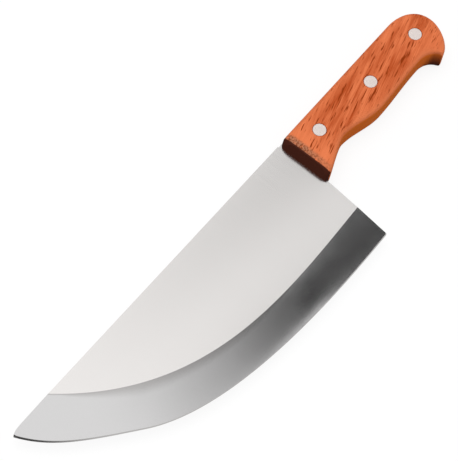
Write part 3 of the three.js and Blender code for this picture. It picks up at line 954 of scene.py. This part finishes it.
class CLEAVER_OT_studio(bpy.types.Operator):
    """Set up the floor, the light, the reflected cards and the camera"""

    bl_idname = "cleaver.studio"
    bl_label = "Studio"

    def execute(self, context):
        studio = context.scene.cleaver.studio
        context.scene.view_settings.view_transform = "Standard"
        self.camera(context, studio)
        self.floor()
        self.light(context, studio)
        self.card("bevel_card", at=(432, 68), turn=-5.9, size=(799, 193), fade=(9, -304), dark=0.026)
        self.card("flat_card", at=(665, 307), turn=-4.6, size=(1106, 120), fade=(36, -505), dark=0.3, soft=38)
        self.card("tip_card", at=(-286, 73), turn=-52.5, size=(600, 300), fade=(60, 240), dark=0.05)
        self.wall()
        return {"FINISHED"}

    def camera(self, context, studio):
        camera = bpy.data.objects.new("camera", bpy.data.cameras.new("camera"))
        camera.data.lens = camera.data.sensor_width / 2 / math.tan(studio.field / 2)
        level = math.cos(studio.elevation)
        side = (math.sin(studio.azimuth) * level, -math.cos(studio.azimuth) * level)
        back = Vector((*side, math.sin(studio.elevation)))
        camera.location = Vector(studio.aim) + back * studio.distance
        camera.rotation_mode = "QUATERNION"
        camera.rotation_quaternion = (-back).to_track_quat("-Z", "Y") @ Quaternion((0, 0, 1), studio.roll)
        context.scene.collection.objects.link(camera)
        context.scene.camera = camera

    def floor(self):
        bm = bmesh.new()
        bmesh.ops.create_grid(bm, x_segments=1, y_segments=1, size=FLOOR_REACH)
        bmesh.ops.translate(bm, verts=bm.verts, vec=(0, 0, -FLOOR_GAP))
        material, tree = new_material("white_paper_sweep")
        paper = add(tree, "BsdfDiffuse", {"Color": linear("7a7a7a")})
        # Where it is seen, the paper is white and keeps a soft shadow
        shaded = add(tree, "BsdfDiffuse", {"Color": (0.15, 0.15, 0.15, 1)})
        white = add(tree, "Emission", {"Strength": 0.87})
        bright = add(tree, "AddShader", {0: shaded, 1: white})
        mix = add(tree, "MixShader", {0: seen_rays(tree), 1: paper, 2: bright})
        add(tree, "OutputMaterial", {"Surface": mix})
        new_piece("floor", bm, [material], NO_CREASE)

    def light(self, context, studio):
        world = bpy.data.worlds.new("white_room")
        context.scene.world = world
        world.use_nodes = True
        tree = world.node_tree
        tree.nodes.clear()
        strength = add(tree, "MapRange", {"Value": seen_rays(tree), "To Min": studio.fill, "To Max": 1})
        room = add(tree, "Background", {"Color": (1, 1, 1, 1), "Strength": strength})
        add(tree, "OutputWorld", {"Surface": room})

        lamp = bpy.data.objects.new("key", bpy.data.lights.new("key", "AREA"))
        lamp.data.energy = studio.key
        lamp.data.size = LAMP_SIZE
        lamp.location = LAMP_PLACE
        lamp.rotation_mode = "QUATERNION"
        lamp.rotation_quaternion = (-lamp.location).to_track_quat("-Z", "Y")
        lamp.visible_glossy = False
        context.scene.collection.objects.link(lamp)

    def card(self, name, at, turn, size, fade, dark, soft=0):
        """A graduated card overhead, with its sizes and the softness of its long edges in millimetres"""
        bm = bmesh.new()
        bmesh.ops.create_grid(bm, x_segments=1, y_segments=1, size=MM / 2)
        bmesh.ops.scale(bm, verts=bm.verts, vec=(*size, 1))
        rim = (size[1] / 2 - soft, size[1] / 2) if soft else None
        card = self.reflected(name, bm, "X", fade, dark, rim)
        card.location = (at[0] * MM, at[1] * MM, CARD_HEIGHT)
        card.rotation_euler.z = math.radians(turn)

    def wall(self):
        """A round wall that goes grey towards the floor"""
        bm = bmesh.new()
        lift = Matrix.Translation((0, 0, WALL_HEIGHT / 2))
        sizes = {"radius1": WALL_RADIUS, "radius2": WALL_RADIUS, "depth": WALL_HEIGHT}
        bmesh.ops.create_cone(bm, cap_ends=False, segments=TURN_STEPS, matrix=lift, **sizes)
        self.reflected("wall", bm, "Z", (0, WALL_HEIGHT / MM), 0.3)

    def reflected(self, name, bm, axis, fade, dark, rim=None):
        """A surface that shows only in reflections, from dark to white along an axis and at its rim"""
        material, tree = new_material("graduated_card")
        axes = add(tree, "SeparateXYZ", {"Vector": add(tree, "TexCoord").outputs["Object"]})
        tones = {"From Min": fade[0] * MM, "From Max": fade[1] * MM, "To Min": dark, "To Max": 1}
        grade = add(tree, "MapRange", {"Value": axes.outputs[axis], **tones})
        if rim:
            aside = add(tree, "Math", {0: axes.outputs["Y"]}, operation="ABSOLUTE")
            tones = {"From Min": rim[0] * MM, "From Max": rim[1] * MM, "To Min": grade, "To Max": 1}
            grade = add(tree, "MapRange", {"Value": aside, **tones}, **EASED)
        add(tree, "OutputMaterial", {"Surface": add(tree, "Emission", {"Strength": grade})})
        card = new_piece(name, bm, [material], NO_CREASE)
        card.visible_camera = False
        card.visible_diffuse = False
        card.visible_shadow = False
        return card


class CLEAVER_PT_panel(bpy.types.Panel):
    bl_label = "Cleaver"
    bl_space_type = "VIEW_3D"
    bl_region_type = "UI"
    bl_category = "Cleaver"

    def draw(self, context):
        for operator in OPERATORS:
            self.layout.operator(operator.bl_idname)
        for group in ("blade", "handle", "rivets", "finishes", "studio"):
            settings = getattr(context.scene.cleaver, group)
            box = self.layout.box()
            box.label(text=group.title())
            for name in settings.bl_rna.properties.keys():
                if name not in ("name", "rna_type"):
                    box.prop(settings, name)


GROUPS = (BladeSizes, HandleSizes, RivetSizes, Finishes, StudioSettings, CleaverSettings)
OPERATORS = (CLEAVER_OT_blade, CLEAVER_OT_scales, CLEAVER_OT_rivets, CLEAVER_OT_studio)
CLASSES = (*GROUPS, *OPERATORS, CLEAVER_PT_panel)


def register():
    for each in CLASSES:
        bpy.utils.register_class(each)
    bpy.types.Scene.cleaver = PointerProperty(type=CleaverSettings)


def unregister():
    del bpy.types.Scene.cleaver
    for each in reversed(CLASSES):
        bpy.utils.unregister_class(each)


def main():
    register()
    bpy.ops.cleaver.blade()
    bpy.ops.cleaver.scales()
    bpy.ops.cleaver.rivets()
    bpy.ops.cleaver.studio()


if __name__ == "__main__":
    main()
